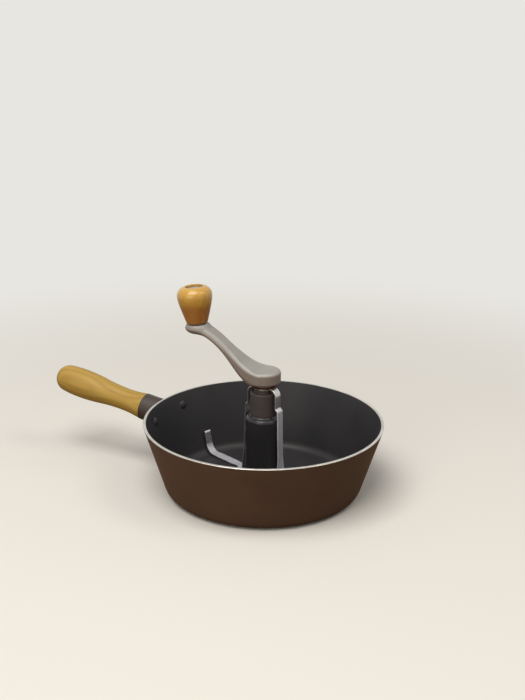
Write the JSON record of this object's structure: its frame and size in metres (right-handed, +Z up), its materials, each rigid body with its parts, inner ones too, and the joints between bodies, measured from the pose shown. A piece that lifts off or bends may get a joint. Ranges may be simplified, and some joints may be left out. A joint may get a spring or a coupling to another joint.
{
  "type": "nut roaster",
  "caption": "Round metal roasting pan with a wooden handle and a hand cranked stirrer on a centre post: bent steel blades sweep the floor as the wooden knob is turned.",
  "frame": {"origin": "centre of the pan's flat underside, on the axis of the centre post", "axes": "+Z up along the centre post; the wooden handle points to -X; +Y completes the right-handed frame"},
  "size_m": [0.3716, 0.2416, 0.2062],
  "materials": {
    "pan_coating": "satin",
    "bracket_metal": "satin",
    "rivet_metal": "satin",
    "steel": "brushed",
    "blade_steel": "bright",
    "sleeve_metal": "satin",
    "bronze": "matte",
    "copper": "satin",
    "crank_metal": "satin",
    "handle_wood": "satin",
    "knob_wood": "gloss"
  },
  "bodies": {
    "pan": {"pan_bowl": "pan_coating", "centre_post": "pan_coating", "post_screw": "steel", "post_spindle": "steel", "handle_bracket": "bracket_metal", "handle_rivets": "rivet_metal", "handle_screw": "steel", "screw_washer": "steel", "wooden_handle": "handle_wood"},
    "thrust_ring": {"thrust_washer": "steel"},
    "stirrer": {"drive_sleeve": "sleeve_metal", "lower_bush": "bronze", "upper_bush": "bronze", "copper_washer": "copper", "blade_rear": "blade_steel", "blade_front": "blade_steel", "hub_lock_washer": "steel", "hub_screw": "steel", "crank_arm": "crank_metal", "knob_spindle": "steel", "knob_washer": "steel"},
    "knob_grip": {"knob": "knob_wood"}
  },
  "joints": [
    {"name": "crank_turn", "type": "hinge", "parent": "pan", "child": "thrust_ring", "pos_m": [0, 0, 0.0802], "axis": [0, 0, 1], "continuous": true},
    {"name": "stirrer_lift", "type": "slide", "parent": "thrust_ring", "child": "stirrer", "axis": [0, 0, 1], "range_m": [0, 0.12]},
    {"name": "knob_spin", "type": "hinge", "parent": "stirrer", "child": "knob_grip", "pos_m": [-0.07104, -0.00809, 0.1674], "axis": [-0.0952, -0.0108, 0.9954], "continuous": true}
  ]
}
